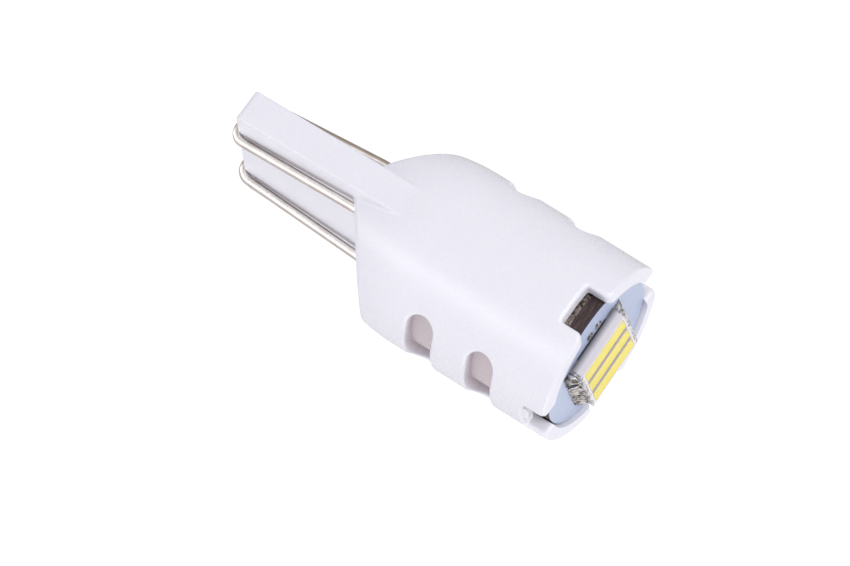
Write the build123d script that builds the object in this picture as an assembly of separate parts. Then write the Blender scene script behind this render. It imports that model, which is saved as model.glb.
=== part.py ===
from build123d import *
import math
import os

# Wedge base LED bulb, W2.1x9.5d size, in millimetres.
# Origin: centre of the shoulder, where the faces of the wedge leave the body. +Z runs
# along the bulb's axis towards the LEDs, X across the width of the wedge, Y across its thickness.

# Housing: one white moulding, body and wedge together
BODY_RADIUS = 5.0
BODY_LENGTH = 13.9
BARREL_DRAW_IN = 1.2
BARREL_CURVE_STRETCH = 11 / 3
SHOULDER_DROP = 0.3
SHOULDER_SLOPE = 36.0
SHOULDER_ROUND = 0.5
RIM_EDGE_ROUND = 0.22

# Wedge
WEDGE_LENGTH = 7.5
WEDGE_THICKNESS = 1.8
WEDGE_ROOT_INSET = 0.25
WEDGE_TAPER = 0.4
WEDGE_ROOT_HEIGHT = 1.5
WEDGE_CORNER_ROUND = 0.3
WEDGE_EDGE_ROUND = 0.13
WEDGE_ROOT_ROUND = 0.3

# Four notches in the rim
NOTCH_COUNT = 4
NOTCH_WIDTH = 2.25
NOTCH_DEPTH = 1.35
NOTCH_MOUTH_ROUND = 0.4
NOTCH_FLOOR_ROUND = 0.15

# Cooling recesses, two on each broad side
RECESS_COUNT = 2
RECESS_PITCH = 3.63
RECESS_FIRST_HEIGHT = 6.12
RECESS_WIDTH = 1.55
RECESS_LENGTH = 5.4
RECESS_DEPTH = 0.7
RECESS_MOUTH_ROUND = 0.14

# Hollow behind the LED board
RIM_WALL = 0.8
SEAT_LEDGE = 0.6
SEAT_CLEARANCE = 0.08
CAVITY_FLOOR_HEIGHT = 2.2
BOARD_SETBACK = 0.28

# LED board and the turned aluminium slug that it sits on
LED_BOARD_THICKNESS = 0.8
LED_BOARD_TURN = 8.0
SLUG_FLANGE_THICKNESS = 0.3
SLUG_BOSS_LENGTH = 1.15
SLUG_BOSS_CLEARANCE = 0.1
SLUG_EDGE_CHAMFER = 0.15
VIA_DIAMETER = 0.28
VIA_PITCH = 0.72
VIA_EDGE_GAP = 0.42

# LED packages
LED_COUNT = 3
LED_LENGTH = 4.0
LED_GAP = 0.1
LED_HEIGHT = 0.78
LED_STANDOFF = 0.08
LED_WINDOW_LENGTH = 3.45
LED_SIDE_WALL = 0.13
LED_WINDOW_ROUND = 0.2
LED_WINDOW_DEPTH = 0.35
LED_WINDOW_TAPER = 12.0
LED_CORNER_ROUND = 0.08
LED_LEAD_THICKNESS = 0.12
LED_LEAD_LENGTH = 0.75
LED_LEAD_INSET = 0.16
LED_LEAD_RISE = 0.36
LED_SOLDER_REACH = 0.38
LED_SOLDER_RISE = 0.26
LED_SOLDER_KNEE = (0.3, 0.4)

# Contact wires, each bent over the wedge tip with one leg on either face
WIRE_DIAMETER = 0.48
WIRE_ROOT_INSET = 0.4
WIRE_INNER_INSET = 0.85
WIRE_TIP_INSET = 1.3
WIRE_FACE_GAP = 0.05
WIRE_FRONT_STANDOFF = 0.11
WIRE_BACK_STANDOFF = 0.29
WIRE_TIP_SINK = 0.1
WIRE_TIP_BEND = 0.65
WIRE_GROOVE_CLEARANCE = 0.03
WIRE_ROOT_BEND = 2.0
WIRE_HOLE_CLEARANCE = 0.06
WIRE_HOLE_START = 1.0
WIRE_INNER_HEIGHT = 2.6
WIRE_TOP_HEIGHT = 5.0
WIRE_TAIL_HEIGHT = 1.4

# Driver board, standing in two grooves of the hollow
DRIVER_THICKNESS = 0.8
DRIVER_FLOOR_GAP = 0.25
DRIVER_SLUG_GAP = 0.55
GROOVE_DEPTH = 0.3
GROOVE_CLEARANCE = 0.05

# Parts on the driver board: length along X, height along Z, thickness off the board
RECTIFIER_SIZE = (3.2, 2.6, 1.25)
REGULATOR_SIZE = (2.6, 1.5, 1.1)
RESISTOR_SIZE = (1.6, 0.85, 0.45)
CAPACITOR_SIZE = (2.0, 1.25, 1.0)
COMPONENT_TERMINAL = 0.32
COMPONENT_LEAD_THICKNESS = 0.18
COMPONENT_LEAD_WIDTH = 0.45
COMPONENT_LEAD_REACH = 0.5
COMPONENT_EDGE_ROUND = 0.06

# Their places: X, share of the board's height, and the face of the board
RECTIFIER_PLACE = (0.0, 0.30, -1)
REGULATOR_PLACE = (0.8, 0.76, -1)
CAPACITOR_PLACE = (0.2, 0.63, 1)
SENSE_RESISTOR_PLACE = (0.2, 0.415, 1)
BLEED_RESISTOR_PLACE = (0.2, 0.21, 1)

# Two pins that carry the current from the driver board up to the LED board
PIN_DIAMETER = 0.36
PIN_WALL_GAP = 0.66
PIN_ROW_GAP = 0.56
PIN_FOOT_LENGTH = 2.2
PIN_TOP_PROUD = 0.18
PIN_BOARD_CLEARANCE = 0.05
PIN_SLUG_CLEARANCE = 0.3
PIN_SOLDER_RADIUS = 0.27
PIN_SOLDER_SHARE = 0.7
PIN_SOLDER_MARGIN = 0.02

# Mounds of solder over the pins and wires on the faces of the driver board
JOINT_SOLDER_LENGTH = 1.7
JOINT_SOLDER_SPREAD = 2.1
JOINT_SOLDER_COVER = 0.06
JOINT_SOLDER_GAP = 0.6

# What a cutter is made longer than the cut, so that it passes right through
CUTTER_REACH = 4.0

# Sizes that follow from those above
BARREL_CURVE_HEIGHT = BARREL_DRAW_IN * BARREL_CURVE_STRETCH
SEAT_RADIUS = BODY_RADIUS - RIM_WALL
CAVITY_RADIUS = SEAT_RADIUS - SEAT_LEDGE
SEAT_CLEAR_RADIUS = SEAT_RADIUS - SEAT_CLEARANCE
BOARD_TOP = BODY_LENGTH - BOARD_SETBACK
BOARD_BOTTOM = BOARD_TOP - LED_BOARD_THICKNESS
SEAT_HEIGHT = BOARD_BOTTOM - SLUG_FLANGE_THICKNESS
SLUG_BOTTOM = SEAT_HEIGHT - SLUG_BOSS_LENGTH
NOTCH_FLOOR = BODY_LENGTH - NOTCH_DEPTH
PIN_OFFSET = CAVITY_RADIUS - PIN_WALL_GAP
LED_ROW_HALF = PIN_OFFSET - PIN_ROW_GAP
LED_PITCH = (2 * LED_ROW_HALF + LED_GAP) / LED_COUNT
LED_WIDTH = LED_PITCH - LED_GAP
LED_WINDOW_WIDTH = LED_WIDTH - 2 * LED_SIDE_WALL
LED_LEAD_WIDTH = LED_WIDTH - 2 * LED_LEAD_INSET
WEDGE_ROOT_HALF = BODY_RADIUS - WEDGE_ROOT_INSET
WEDGE_TIP_HALF = WEDGE_ROOT_HALF - WEDGE_TAPER
WEDGE_HALF = WEDGE_THICKNESS / 2
SHOULDER_RISE = (BODY_RADIUS - WEDGE_HALF) * math.tan(math.radians(SHOULDER_SLOPE)) - SHOULDER_DROP
WIRE_RADIUS = WIRE_DIAMETER / 2
WIRE_ROOT_X = CAVITY_RADIUS - WIRE_ROOT_INSET
WIRE_INNER_X = CAVITY_RADIUS - WIRE_INNER_INSET
WIRE_TIP_X = CAVITY_RADIUS - WIRE_TIP_INSET
WIRE_TIP_Y = WEDGE_HALF + WIRE_FACE_GAP + WIRE_RADIUS
WIRE_FRONT_Y = WIRE_TIP_Y + WIRE_FRONT_STANDOFF
WIRE_BACK_Y = -WIRE_TIP_Y - WIRE_BACK_STANDOFF
WIRE_TIP_Z = -WEDGE_LENGTH + WIRE_TIP_SINK - WIRE_RADIUS
WIRE_HOLE_RADIUS = WIRE_RADIUS + WIRE_HOLE_CLEARANCE
DRIVER_WIDTH = 2 * (CAVITY_RADIUS + GROOVE_DEPTH - GROOVE_CLEARANCE)
DRIVER_FRONT = WIRE_FRONT_Y - WIRE_RADIUS
DRIVER_BACK = DRIVER_FRONT - DRIVER_THICKNESS
DRIVER_BOTTOM = CAVITY_FLOOR_HEIGHT + DRIVER_FLOOR_GAP
DRIVER_TOP = SLUG_BOTTOM - DRIVER_SLUG_GAP
DRIVER_LENGTH = DRIVER_TOP - DRIVER_BOTTOM
PIN_RADIUS = PIN_DIAMETER / 2
PIN_TOP = BOARD_TOP + PIN_TOP_PROUD
PIN_BOTTOM = DRIVER_TOP - PIN_FOOT_LENGTH


def body_blank():
    """The barrel, drawn in towards the wedge, with a sloping shoulder on either side of it."""
    side = Line((BODY_RADIUS, BODY_LENGTH), (BODY_RADIUS, BARREL_CURVE_HEIGHT))
    end = (BODY_RADIUS - BARREL_DRAW_IN, -SHOULDER_DROP)
    curve = TangentArc((BODY_RADIUS, BARREL_CURVE_HEIGHT), end, tangent=(0, -1))
    rest = Polyline(end, (0, -SHOULDER_DROP), (0, BODY_LENGTH), (BODY_RADIUS, BODY_LENGTH))
    outline = Curve() + [side, curve, rest]
    barrel = revolve(make_face(Plane.XZ * outline), Axis.Z, 360)
    slopes = Polyline(
        (-WEDGE_HALF, -SHOULDER_DROP), (WEDGE_HALF, -SHOULDER_DROP),
        (BODY_RADIUS, SHOULDER_RISE), (BODY_RADIUS, BODY_LENGTH),
        (-BODY_RADIUS, BODY_LENGTH), (-BODY_RADIUS, SHOULDER_RISE), close=True)
    return barrel & extrude(make_face(Plane.YZ * slopes), BODY_RADIUS, both=True)


def shoulder_edges(body):
    """The two curved edges where the sloping shoulder faces meet the barrel."""
    return [edge for edge in body.edges()
            if edge.geom_type != GeomType.LINE and 0.001 < (edge @ 0.5).Z < BARREL_CURVE_HEIGHT
            and abs((edge @ 0.5).Y) > WEDGE_THICKNESS]


def wedge_blank():
    """The flat wedge, a little narrower at its tip, with all its edges eased."""
    slope = WEDGE_TAPER / (WEDGE_LENGTH + WEDGE_ROOT_HEIGHT)
    top_half = WEDGE_TIP_HALF + slope * (WEDGE_LENGTH + BARREL_CURVE_HEIGHT)
    outline = Polyline(
        (-WEDGE_TIP_HALF, -WEDGE_LENGTH), (WEDGE_TIP_HALF, -WEDGE_LENGTH),
        (top_half, BARREL_CURVE_HEIGHT), (-top_half, BARREL_CURVE_HEIGHT), close=True)
    blade = extrude(make_face(Plane.XZ * outline), WEDGE_HALF, both=True)
    corners = blade.edges().filter_by(Axis.Y).sort_by(Axis.Z)[:2]
    blade = fillet(corners, WEDGE_CORNER_ROUND)
    top = blade.faces().sort_by(Axis.Z)[-1]
    outer = [edge for edge in blade.edges()
             if abs(abs((edge @ 0.5).Y) - WEDGE_HALF) < 0.001 and (edge @ 0.5).Z < top.center().Z - 0.001]
    return fillet(outer, WEDGE_EDGE_ROUND)


def wedge_root_edges(body):
    """The edges where the broad faces of the wedge run into the shoulder."""
    return [edge for edge in body.edges()
            if abs(abs((edge @ 0.5).Y) - WEDGE_HALF) < 0.001
            and abs((edge @ 0).Y - (edge @ 1).Y) < 0.001
            and min((edge @ 0).Z, (edge @ 1).Z) > -SHOULDER_DROP - 0.01]


def recess_cutter(height, side):
    """A rounded slot pulled in along Y, with a floor that follows the body."""
    slot = SlotOverall(RECESS_LENGTH, RECESS_WIDTH)
    start = BODY_RADIUS + CUTTER_REACH
    prism = extrude(Plane.XZ.offset(-side * start) * Pos(0, height) * slot, side * start)
    core = Pos(0, 0, height) * Cylinder(BODY_RADIUS - RECESS_DEPTH, 2 * RECESS_WIDTH)
    return prism - core


def recess_mouth_edges(body):
    """The edges where the recesses break through the outside of the body."""
    low = RECESS_FIRST_HEIGHT - RECESS_WIDTH
    high = RECESS_FIRST_HEIGHT + (RECESS_COUNT - 1) * RECESS_PITCH + RECESS_WIDTH
    found = []
    for edge in body.edges():
        middle = edge @ 0.5
        reach = math.hypot(middle.X, middle.Y)
        if low < middle.Z < high and abs(reach - BODY_RADIUS) < 0.01 and edge.length < 2 * RECESS_LENGTH:
            found.append(edge)
    return found


def notch_cutter(turn):
    """One rim notch: a flat-sided slot from the seat outwards."""
    reach = BODY_RADIUS - CAVITY_RADIUS + CUTTER_REACH
    block = Box(reach, NOTCH_WIDTH, CUTTER_REACH, align=(Align.MIN, Align.CENTER, Align.MIN))
    floor_edges = block.edges().filter_by(Axis.X).group_by(Axis.Z)[0]
    block = fillet(floor_edges, NOTCH_FLOOR_ROUND)
    return Rot(0, 0, turn) * Pos(CAVITY_RADIUS, 0, NOTCH_FLOOR) * block


def wire_places():
    """The side of the wedge, +X or -X, that each contact wire runs on."""
    return {"contact_wire_a": 1, "contact_wire_b": -1}


def wire_leg(side, face, inner_height):
    """Points of one leg: inside the hollow, at the root, and at the tip of the wedge."""
    root_y = WIRE_FRONT_Y if face > 0 else WIRE_BACK_Y
    lean = (WIRE_INNER_X - WIRE_ROOT_X) / WIRE_INNER_HEIGHT
    inner = (side * (WIRE_ROOT_X + lean * inner_height), root_y, inner_height)
    root = (side * WIRE_ROOT_X, root_y, 0)
    tip = (side * WIRE_TIP_X, face * WIRE_TIP_Y, WIRE_TIP_Z)
    return inner, root, tip


def swept_round(points, radii, radius):
    """Round bar along a path of straight runs and bends."""
    path = FilletPolyline(*points, radius=radii)
    start = Plane(origin=path @ 0, z_dir=path % 0)
    return sweep(start * Circle(radius), path=path)


def wire_hole(side, face, top):
    """Hole for a wire, from outside the shoulder up to a height in the moulding."""
    inner, root, tip = wire_leg(side, face, top)
    share = WIRE_HOLE_START / -WIRE_TIP_Z
    mouth = tuple(a + share * (b - a) for a, b in zip(root, tip))
    return swept_round([mouth, root, inner], WIRE_ROOT_BEND, WIRE_HOLE_RADIUS)


def tip_groove(side):
    """The seat of a wire where it goes over the tip of the wedge."""
    front, back = wire_leg(side, 1, 0)[1:], wire_leg(side, -1, 0)[1:]
    return swept_round([*front, *reversed(back)], WIRE_TIP_BEND, WIRE_RADIUS + WIRE_GROOVE_CLEARANCE)


def housing():
    """The moulding with its notches, recesses, hollow, grooves and wire holes."""
    body = body_blank() + wedge_blank()
    body = fillet(shoulder_edges(body), SHOULDER_ROUND)
    body = fillet(wedge_root_edges(body), WEDGE_ROOT_ROUND)
    for side in (1, -1):
        for index in range(RECESS_COUNT):
            body -= recess_cutter(RECESS_FIRST_HEIGHT + index * RECESS_PITCH, side)
    body = fillet(recess_mouth_edges(body), RECESS_MOUTH_ROUND)

    seat = Pos(0, 0, SEAT_HEIGHT) * Cylinder(
        SEAT_RADIUS, CUTTER_REACH, align=(Align.CENTER, Align.CENTER, Align.MIN))
    cavity = Pos(0, 0, CAVITY_FLOOR_HEIGHT) * Cylinder(
        CAVITY_RADIUS, BODY_LENGTH, align=(Align.CENTER, Align.CENTER, Align.MIN))
    body = body - seat - cavity

    for index in range(NOTCH_COUNT):
        body -= notch_cutter(index * 360 / NOTCH_COUNT)
    rim = body.edges().group_by(Axis.Z)[-1]
    body = fillet(rim.filter_by(GeomType.LINE), NOTCH_MOUTH_ROUND)
    outer = [e for e in body.edges().group_by(Axis.Z)[-1].filter_by(GeomType.CIRCLE)
             if abs(e.radius - BODY_RADIUS) < 0.01]
    body = fillet(outer, RIM_EDGE_ROUND)

    groove = Box(DRIVER_WIDTH + 2 * GROOVE_CLEARANCE, DRIVER_THICKNESS + 2 * GROOVE_CLEARANCE,
                 SEAT_HEIGHT - DRIVER_BOTTOM, align=(Align.CENTER, Align.CENTER, Align.MIN))
    body -= Pos(0, (DRIVER_FRONT + DRIVER_BACK) / 2, DRIVER_BOTTOM) * groove
    for side in wire_places().values():
        body -= tip_groove(side)
        body -= wire_hole(side, 1, WIRE_INNER_HEIGHT)
        body -= wire_hole(side, -1, WIRE_TAIL_HEIGHT + WIRE_HOLE_CLEARANCE)
    return body


def contact_wire(side):
    """Round tinned wire: inner leg, front face, over the tip, back face, tail in its hole."""
    front = wire_leg(side, 1, WIRE_INNER_HEIGHT)
    back = wire_leg(side, -1, WIRE_TAIL_HEIGHT)
    top = (front[0][0], front[0][1], WIRE_TOP_HEIGHT)
    points = [top, *front, *reversed(back)]
    radii = [WIRE_ROOT_BEND, WIRE_ROOT_BEND, WIRE_TIP_BEND, WIRE_TIP_BEND, WIRE_ROOT_BEND]
    return swept_round(points, radii, WIRE_RADIUS)


def pin_places():
    """X and Y of the two pins, one on each face of the driver board."""
    return [(-PIN_OFFSET, DRIVER_BACK - PIN_RADIUS), (-PIN_OFFSET, DRIVER_FRONT + PIN_RADIUS)]


def heat_slug():
    """Turned aluminium slug: a flange on the seat and a boss in the hollow."""
    flange = Pos(0, 0, SEAT_HEIGHT) * Cylinder(
        SEAT_CLEAR_RADIUS, SLUG_FLANGE_THICKNESS, align=(Align.CENTER, Align.CENTER, Align.MIN))
    boss = Pos(0, 0, SLUG_BOTTOM) * Cylinder(
        CAVITY_RADIUS - SLUG_BOSS_CLEARANCE, SLUG_BOSS_LENGTH, align=(Align.CENTER, Align.CENTER, Align.MIN))
    boss = chamfer(boss.edges().group_by(Axis.Z)[0], SLUG_EDGE_CHAMFER)
    slug = flange + boss
    for x, y in pin_places():
        slug -= Pos(x, y, SEAT_HEIGHT) * Cylinder(PIN_RADIUS + PIN_SLUG_CLEARANCE, CUTTER_REACH)
    return slug


def led_board():
    """Round board on the slug, with pin holes and two small vias beside the LEDs."""
    disc = Pos(0, 0, BOARD_BOTTOM) * Cylinder(
        SEAT_CLEAR_RADIUS, LED_BOARD_THICKNESS, align=(Align.CENTER, Align.CENTER, Align.MIN))
    for x, y in pin_places():
        disc -= Pos(x, y, BOARD_TOP) * Cylinder(PIN_RADIUS + PIN_BOARD_CLEARANCE, CUTTER_REACH)
    for hole in (0, -1):
        spot = Rot(0, 0, LED_BOARD_TURN) * Pos(LED_ROW_HALF + VIA_EDGE_GAP, hole * VIA_PITCH, BOARD_TOP)
        disc -= spot * Cylinder(VIA_DIAMETER / 2, CUTTER_REACH)
    return disc


def on_board(index):
    """Frame of one LED: its centre on the face of the board."""
    x = (index - (LED_COUNT - 1) / 2) * LED_PITCH
    return Rot(0, 0, LED_BOARD_TURN) * Pos(x, 0, BOARD_TOP)


def led_lead(end):
    """One bent lead of a package, under its end and up its end face."""
    foot = Pos(0, end * (LED_LENGTH / 2 - LED_LEAD_LENGTH / 2), 0) * Box(
        LED_LEAD_WIDTH, LED_LEAD_LENGTH, LED_LEAD_THICKNESS, align=(Align.CENTER, Align.CENTER, Align.MIN))
    rise = Pos(0, end * (LED_LENGTH / 2 - LED_LEAD_THICKNESS / 2), 0) * Box(
        LED_LEAD_WIDTH, LED_LEAD_THICKNESS, LED_LEAD_RISE, align=(Align.CENTER, Align.CENTER, Align.MIN))
    return foot + rise


def led_window():
    """The tapered well in the top of a package, filled with phosphor."""
    mouth = Pos(0, 0, LED_HEIGHT) * RectangleRounded(LED_WINDOW_WIDTH, LED_WINDOW_LENGTH, LED_WINDOW_ROUND)
    return extrude(mouth, -LED_WINDOW_DEPTH, taper=LED_WINDOW_TAPER)


def led_body():
    """White moulded package with its well and the seats of both leads."""
    case = Box(LED_WIDTH, LED_LENGTH, LED_HEIGHT - LED_STANDOFF, align=(Align.CENTER, Align.CENTER, Align.MIN))
    case = Pos(0, 0, LED_STANDOFF) * fillet(case.edges().filter_by(Axis.Z), LED_CORNER_ROUND)
    return case - led_window() - led_lead(1) - led_lead(-1)


def led_solder(end):
    """The solder fillet between a lead and its pad."""
    reach_share, rise_share = LED_SOLDER_KNEE
    inner = end * LED_LENGTH / 2
    outer = inner + end * LED_SOLDER_REACH
    knee = inner + end * LED_SOLDER_REACH * reach_share
    profile = Polyline(
        (inner, 0), (outer, 0), (knee, LED_SOLDER_RISE * rise_share), (inner, LED_SOLDER_RISE), close=True)
    face = make_face(Plane.YZ * profile)
    return extrude(face, LED_LEAD_WIDTH / 2, both=True)


def driver_board():
    """Flat board that stands in the two grooves and meets both contact wires."""
    board = Box(DRIVER_WIDTH, DRIVER_THICKNESS, DRIVER_LENGTH, align=(Align.CENTER, Align.MIN, Align.MIN))
    return Pos(0, DRIVER_BACK, DRIVER_BOTTOM) * board


def on_driver(x, share, side):
    """Frame on a face of the driver board: local Z points away from the board."""
    height = share * DRIVER_LENGTH
    face_y = DRIVER_FRONT if side > 0 else DRIVER_BACK
    return Plane(origin=(x, face_y, DRIVER_BOTTOM + height), x_dir=(1, 0, 0), z_dir=(0, side, 0)).location


def leaded_part(size, lead_count):
    """Moulded component with bent leads on its two long sides."""
    length, width, height = size
    lift = COMPONENT_LEAD_THICKNESS / 2
    case = Pos(0, 0, lift) * Box(length, width, height - lift, align=(Align.CENTER, Align.CENTER, Align.MIN))
    part = chamfer(case.faces().sort_by(Axis.Z)[-1].edges(), COMPONENT_EDGE_ROUND)
    pitch = length / lead_count
    for index in range(lead_count):
        x = (index - (lead_count - 1) / 2) * pitch
        for end in (-1, 1):
            foot = Pos(x, end * (width / 2 + COMPONENT_LEAD_REACH / 2 - COMPONENT_LEAD_THICKNESS), 0) * Box(
                COMPONENT_LEAD_WIDTH, COMPONENT_LEAD_REACH + 2 * COMPONENT_LEAD_THICKNESS,
                COMPONENT_LEAD_THICKNESS, align=(Align.CENTER, Align.CENTER, Align.MIN))
            part += foot
    return part


def chip_part(size):
    """Chip component: a ceramic block with a raised metal cap at each end."""
    length, width, height = size
    cap = COMPONENT_EDGE_ROUND / 2
    block = Box(length, width, height, align=(Align.CENTER, Align.CENTER, Align.MIN))
    for end in (-1, 1):
        block += Pos(end * (length / 2 - COMPONENT_TERMINAL / 2), 0, 0) * Box(
            COMPONENT_TERMINAL, width + 2 * cap, height + cap, align=(Align.CENTER, Align.CENTER, Align.MIN))
    return block


def link_pin(x, y):
    """Straight round pin from the driver board up through the LED board."""
    pin = Cylinder(PIN_RADIUS, PIN_TOP - PIN_BOTTOM, align=(Align.CENTER, Align.CENTER, Align.MIN))
    return Pos(x, y, PIN_BOTTOM) * chamfer(pin.edges(), PIN_RADIUS / 4)


def pin_top_solder(x, y):
    """Cone of solder round a pin on the face of the LED board."""
    cone = Cone(PIN_SOLDER_RADIUS, PIN_RADIUS + PIN_SOLDER_MARGIN, PIN_TOP_PROUD * PIN_SOLDER_SHARE,
                align=(Align.CENTER, Align.CENTER, Align.MIN))
    bore = Cylinder(PIN_RADIUS, CUTTER_REACH)
    return Pos(x, y, BOARD_TOP) * (cone - bore)


def face_solder(x, height, radius, side):
    """Mound of solder over a round lead that lies on a face of the driver board."""
    half = radius * JOINT_SOLDER_SPREAD
    top = 2 * radius + JOINT_SOLDER_COVER
    crest = radius + JOINT_SOLDER_COVER
    mound = Polyline((-half, 0), (half, 0), (crest, top), (-crest, top), close=True)
    face_y = DRIVER_FRONT if side > 0 else DRIVER_BACK
    plane = Plane(origin=(x, face_y, height), x_dir=(side, 0, 0), z_dir=(0, 0, 1))
    block = extrude(make_face(plane * mound), JOINT_SOLDER_LENGTH / 2, both=True)
    lead = Pos(x, face_y + side * radius, height) * Cylinder(radius, 2 * JOINT_SOLDER_LENGTH)
    under = Pos(x, face_y, height) * Box(JOINT_SOLDER_GAP * radius, 2 * radius, 2 * JOINT_SOLDER_LENGTH)
    return block - lead - under


def build_parts():
    """Every node of the bulb by its name."""
    parts = {"housing": housing(), "heat_slug": heat_slug(), "led_board": led_board()}
    for name, side in wire_places().items():
        parts[name] = contact_wire(side)

    solder = []
    for index in range(LED_COUNT):
        place = on_board(index)
        number = index + 1
        parts[f"led_body_{number}"] = place * led_body()
        parts[f"led_phosphor_{number}"] = place * led_window()
        parts[f"led_leads_{number}"] = Compound(children=[place * led_lead(end) for end in (1, -1)])
        solder += [place * led_solder(end) for end in (1, -1)]
    parts["led_solder"] = Compound(children=solder)

    parts["driver_board"] = driver_board()
    parts["bridge_rectifier"] = on_driver(*RECTIFIER_PLACE) * leaded_part(RECTIFIER_SIZE, 2)
    parts["current_regulator"] = on_driver(*REGULATOR_PLACE) * leaded_part(REGULATOR_SIZE, 3)
    parts["filter_capacitor"] = on_driver(*CAPACITOR_PLACE) * chip_part(CAPACITOR_SIZE)
    parts["sense_resistor"] = on_driver(*SENSE_RESISTOR_PLACE) * chip_part(RESISTOR_SIZE)
    parts["bleed_resistor"] = on_driver(*BLEED_RESISTOR_PLACE) * chip_part(RESISTOR_SIZE)

    pins = pin_places()
    for name, (x, y) in zip(("link_pin_a", "link_pin_b"), pins):
        parts[name] = link_pin(x, y)
    pin_joints = [pin_top_solder(x, y) for x, y in pins]
    foot_height = DRIVER_TOP - PIN_FOOT_LENGTH / 2
    pin_joints += [face_solder(x, foot_height, PIN_RADIUS, side) for (x, y), side in zip(pins, (-1, 1))]
    parts["pin_solder"] = Compound(children=pin_joints)
    wire_height = WIRE_TOP_HEIGHT - JOINT_SOLDER_LENGTH / 2 - WIRE_RADIUS / 2
    parts["wire_solder"] = Compound(children=[
        face_solder(side * WIRE_INNER_X, wire_height, WIRE_RADIUS, 1)
        for side in wire_places().values()])
    return parts


os.makedirs("parts", exist_ok=True)
for node, shape in build_parts().items():
    export_step(shape, f"parts/{node}.step")
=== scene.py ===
"""Looks of a wedge base LED bulb: finishes, fine pieces, studio and camera.

Lengths are in metres unless a name ends in _mm or a docstring says millimetres. All of it is in
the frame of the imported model: the origin is the centre of the shoulder, +Z runs to the LEDs,
X across the width of the wedge, Y through its thickness.
"""

import logging
import math
from dataclasses import dataclass
from enum import Enum

import bpy
from mathutils import Matrix, Vector


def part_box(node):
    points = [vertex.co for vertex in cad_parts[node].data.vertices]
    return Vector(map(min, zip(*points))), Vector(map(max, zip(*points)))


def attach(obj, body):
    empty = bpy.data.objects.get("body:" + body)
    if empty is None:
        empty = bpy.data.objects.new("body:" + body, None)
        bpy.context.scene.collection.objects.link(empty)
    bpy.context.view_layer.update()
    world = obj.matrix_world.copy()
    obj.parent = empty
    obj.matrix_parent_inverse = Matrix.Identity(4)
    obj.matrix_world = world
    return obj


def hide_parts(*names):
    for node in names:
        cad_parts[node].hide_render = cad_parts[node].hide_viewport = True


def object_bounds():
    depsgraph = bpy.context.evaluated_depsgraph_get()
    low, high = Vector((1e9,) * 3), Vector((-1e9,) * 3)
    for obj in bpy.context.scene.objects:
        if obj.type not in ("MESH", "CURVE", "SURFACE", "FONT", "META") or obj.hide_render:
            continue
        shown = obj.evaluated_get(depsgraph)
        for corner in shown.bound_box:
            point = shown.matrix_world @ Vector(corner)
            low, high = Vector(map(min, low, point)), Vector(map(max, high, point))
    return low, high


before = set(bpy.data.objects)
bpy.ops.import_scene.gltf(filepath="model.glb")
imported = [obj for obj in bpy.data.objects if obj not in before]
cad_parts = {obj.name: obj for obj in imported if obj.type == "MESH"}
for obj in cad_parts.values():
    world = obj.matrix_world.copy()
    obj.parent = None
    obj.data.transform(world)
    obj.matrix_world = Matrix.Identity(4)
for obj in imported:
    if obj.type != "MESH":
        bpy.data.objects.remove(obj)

LOG = logging.getLogger("wedge_bulb")
MM = 0.001
CAD_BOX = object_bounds()
BODY = "root"
LED_NUMBERS = (1, 2, 3)
LED_TURN_DEG = 8.0
UPWARD = 0.5
GRAIN_FALL_OFF = 0.6

Colour = tuple[float, float, float, float]
Pair = tuple[float, float]
Piece = bpy.types.Object
Node = bpy.types.Node
Tree = bpy.types.NodeTree
Socket = bpy.types.NodeSocket


class Axis(Enum):
    """Axis of the model: across the wedge, through it, or up to the LEDs."""

    WIDTH = "X"
    THICKNESS = "Y"
    HEIGHT = "Z"


class PackageEnd(Enum):
    """End of an LED package along Y: one has heaped solder, the other has thin solder."""

    HEAPED = 1
    THIN = -1


def linear(hex_colour: str) -> Colour:
    """Turns an sRGB hex value into the linear colour that shaders take.

    Args:
        hex_colour: six hex digits, with or without a leading #.

    Returns:
        Red, green, blue and an alpha of 1.
    """
    digits = hex_colour.lstrip("#")
    values = [int(digits[i:i + 2], 16) / 255 for i in (0, 2, 4)]
    # The sRGB curve: a straight foot, then a power of 2.4.
    channels = [v / 12.92 if v <= 0.04045 else ((v + 0.055) / 1.055) ** 2.4 for v in values]
    return (*channels, 1.0)


def per_mm(size_mm: float) -> float:
    """Returns the scale of a pattern with features size_mm wide, for places in metres."""
    return 1 / (size_mm * MM)


def add_node(tree: Tree, kind: str, settings: dict | None = None,
             links: dict | None = None) -> Node:
    """Adds one node, sets its values and connects its inputs.

    Args:
        tree: node tree that gets the node.
        kind: node type, such as ShaderNodeTexNoise.
        settings: node properties by name, or input values by socket name or number.
        links: output sockets by the name or number of the input that they feed.

    Returns:
        The new node.
    """
    node = tree.nodes.new(kind)
    for key, value in (settings or {}).items():
        if isinstance(key, str) and hasattr(node, key):
            setattr(node, key, value)
        else:
            node.inputs[key].default_value = value
    for key, socket in (links or {}).items():
        tree.links.new(socket, node.inputs[key])
    return node


def set_stops(node: Node, stops: tuple) -> None:
    """Sets the colours along a colour ramp.

    Args:
        node: the colour ramp.
        stops: pairs of position and hex colour, from low to high.
    """
    elements = node.color_ramp.elements
    for element, (position, colour) in zip(elements, (stops[0], stops[-1])):
        element.position, element.color = position, linear(colour)
    for position, colour in stops[1:-1]:
        elements.new(position).color = linear(colour)


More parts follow.
